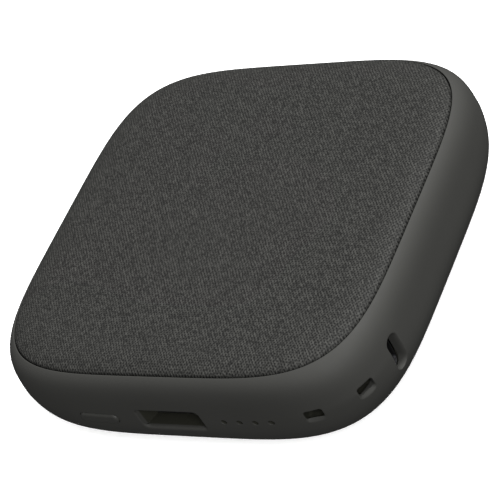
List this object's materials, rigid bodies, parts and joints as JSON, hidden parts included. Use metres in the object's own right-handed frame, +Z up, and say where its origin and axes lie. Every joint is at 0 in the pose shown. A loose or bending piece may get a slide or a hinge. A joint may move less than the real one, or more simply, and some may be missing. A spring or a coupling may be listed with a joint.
{
  "type": "wireless charging pad",
  "caption": "Square wireless charging pad with a woven fabric top, built-in battery, USB-A output, upright USB-C input, power button, status lights and a lanyard eyelet.",
  "frame": {"origin": "middle of the plane that the four feet rest on", "axes": "+Z up; the side with the button, the USB-A socket and the lights faces -Y; the USB-C socket faces +X"},
  "size_m": [0.09, 0.09, 0.025],
  "materials": {
    "shell_plastic": "soft-touch matte, fine grain",
    "button_plastic": "soft-touch matte",
    "woven_fabric": "tight plain weave, charcoal melange",
    "plate_plastic": "moulded, fine texture",
    "foot_rubber": "matte silicone",
    "screw_steel": "zinc plated",
    "copper_litz": "enamelled stranded copper",
    "ferrite": "ferrite sheet under a thin film",
    "tray_plastic": "natural moulded plastic",
    "thermistor_epoxy": "epoxy bead",
    "lead_insulation": "silicone wire insulation",
    "cell_foil": "laminated pouch foil, satin",
    "adhesive_film": "double-sided tape",
    "foam": "closed-cell foam",
    "nickel_strip": "nickel strip",
    "circuit_board": "solder mask",
    "inductor_ferrite": "moulded iron powder",
    "chip_epoxy": "moulded epoxy",
    "capacitor_ceramic": "sintered ceramic",
    "led_lens": "clear lens over white body",
    "light_guide_plastic": "smoked diffusing plastic",
    "switch_plastic": "moulded nylon",
    "plunger_plastic": "moulded nylon",
    "connector_steel": "plated stamped steel",
    "connector_plastic": "moulded plastic",
    "contact_gold": "gold plated"
  },
  "bodies": {
    "body": {"housing_shell": "shell_plastic", "top_plate": "plate_plastic", "fabric_cover": "woven_fabric", "rubber_feet": "foot_rubber", "case_screws": "screw_steel", "charging_coil": "copper_litz", "ferrite_sheet": "ferrite", "coil_tray": "tray_plastic", "coil_screws": "screw_steel", "coil_thermistor": "thermistor_epoxy", "coil_leads": "copper_litz", "lower_cell": "cell_foil", "upper_cell": "cell_foil", "cell_adhesive": "adhesive_film", "cell_foam": "foam", "cell_tabs": "nickel_strip", "protection_board": "circuit_board", "battery_leads": "lead_insulation", "main_board": "circuit_board", "board_screws": "screw_steel", "inductors": "inductor_ferrite", "board_chips": "chip_epoxy", "board_capacitors": "capacitor_ceramic", "status_leds": "led_lens", "light_guide": "light_guide_plastic", "tact_switch": "switch_plastic", "usb_a_shell": "connector_steel", "usb_a_insulator": "connector_plastic", "usb_a_contacts": "contact_gold", "input_board": "circuit_board", "usb_c_shell": "connector_steel", "usb_c_tongue": "connector_plastic", "usb_c_contacts": "contact_gold", "input_leads": "lead_insulation"},
    "button": {"power_button": "button_plastic"},
    "plunger": {"switch_plunger": "plunger_plastic"}
  },
  "joints": [
    {"name": "button_press", "type": "slide", "parent": "body", "child": "button", "axis": [0, 1, 0], "range_m": [0, 0.0003], "stiffness_N_per_m": 2500},
    {"name": "plunger_press", "type": "slide", "parent": "body", "child": "plunger", "axis": [0, 1, 0], "range_m": [0, 0.0003]}
  ],
  "couplings": [
    {"joint": "plunger_press", "follows": "button_press", "ratio": 1}
  ]
}
